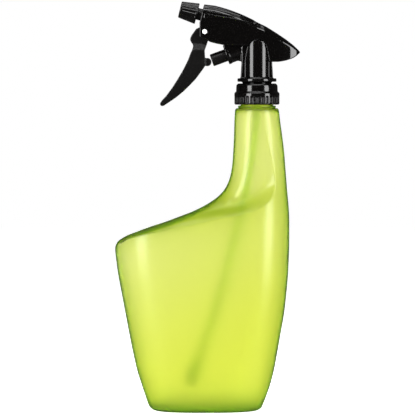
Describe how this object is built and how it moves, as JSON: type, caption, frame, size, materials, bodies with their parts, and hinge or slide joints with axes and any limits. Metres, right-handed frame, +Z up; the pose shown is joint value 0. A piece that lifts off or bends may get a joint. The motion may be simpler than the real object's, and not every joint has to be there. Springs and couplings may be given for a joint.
{
  "type": "hand mister",
  "caption": "Hand mister: translucent wide-bodied bottle with an offset neck, a screw collar and a trigger pump head with a tilted adjustable nozzle.",
  "frame": {"origin": "centre of the object's outline in plan, on the surface that the bottle stands on", "axes": "+Z up through the bottle's height, the nozzle points to -X, +Y across the thin side"},
  "size_m": [0.144, 0.072, 0.318],
  "materials": {
    "bottle_green": "frosted translucent",
    "black_gloss": "gloss",
    "black_satin": "satin",
    "white_plastic": "satin",
    "clear_tube": "translucent",
    "seal_white": "matt",
    "seal_black": "matt",
    "spring_steel": "drawn wire",
    "ball_steel": "polished",
    "strainer_grey": "matt"
  },
  "bodies": {
    "bottle": {"bottle": "bottle_green"},
    "head": {"pump_body": "black_gloss", "shroud": "black_gloss", "trigger_pin": "white_plastic", "return_spring": "spring_steel", "inlet_seat": "white_plastic", "outlet_spring": "spring_steel", "spigot": "black_satin", "spinner": "white_plastic", "collar_gasket": "seal_white", "dip_tube": "clear_tube", "strainer": "strainer_grey"},
    "collar": {"collar": "black_gloss"},
    "trigger": {"trigger": "black_satin"},
    "piston": {"piston": "black_satin", "piston_seal": "seal_white"},
    "inlet_ball": {"inlet_ball": "ball_steel"},
    "outlet_valve": {"outlet_valve": "white_plastic"},
    "nozzle_seal": {"nozzle_seal": "seal_black"},
    "nozzle_cap": {"nozzle_cap": "black_gloss"}
  },
  "joints": [
    {"name": "head_rise", "type": "slide", "parent": "bottle", "child": "head", "axis": [0, 0, 1], "range_m": [0, 0.00525]},
    {"name": "collar_turn", "type": "hinge", "parent": "head", "child": "collar", "pos_m": [0.0385, 0, 0.246], "axis": [0, 0, 1], "range_deg": [0, 450.5]},
    {"name": "trigger_pull", "type": "hinge", "parent": "head", "child": "trigger", "pos_m": [-0.0022, 0, 0.2945], "axis": [0, -1, 0], "range_deg": [0, 20], "stiffness_Nm_per_rad": 0.3, "springref_deg": -6.88},
    {"name": "piston_slide", "type": "slide", "parent": "head", "child": "piston", "axis": [0.9397, 0, 0.342], "range_m": [0, 0.0082], "deforming": ["return_spring"]},
    {"name": "nozzle_travel", "type": "slide", "parent": "head", "child": "nozzle_seal", "axis": [-0.9703, 0, 0.2419], "range_m": [0, 0.0025]},
    {"name": "nozzle_turn", "type": "hinge", "parent": "nozzle_seal", "child": "nozzle_cap", "pos_m": [-0.0046, 0, 0.3076], "axis": [-0.9703, 0, 0.2419], "range_deg": [0, 360.1]},
    {"name": "inlet_lift", "type": "slide", "parent": "head", "child": "inlet_ball", "axis": [0, 0, 1], "range_m": [0, 0.0012]},
    {"name": "outlet_lift", "type": "slide", "parent": "head", "child": "outlet_valve", "axis": [-0.9703, 0, 0.2419], "range_m": [0, 0.0015], "stiffness_N_per_m": 60, "springref_m": -0.0015, "deforming": ["outlet_spring"]}
  ],
  "couplings": [
    {"joint": "collar_turn", "follows": "head_rise", "rad_per_m": 1496},
    {"joint": "trigger_pull", "follows": "piston_slide", "rad_per_m": 42.553},
    {"joint": "nozzle_turn", "follows": "nozzle_travel", "rad_per_m": 2513.3}
  ]
}
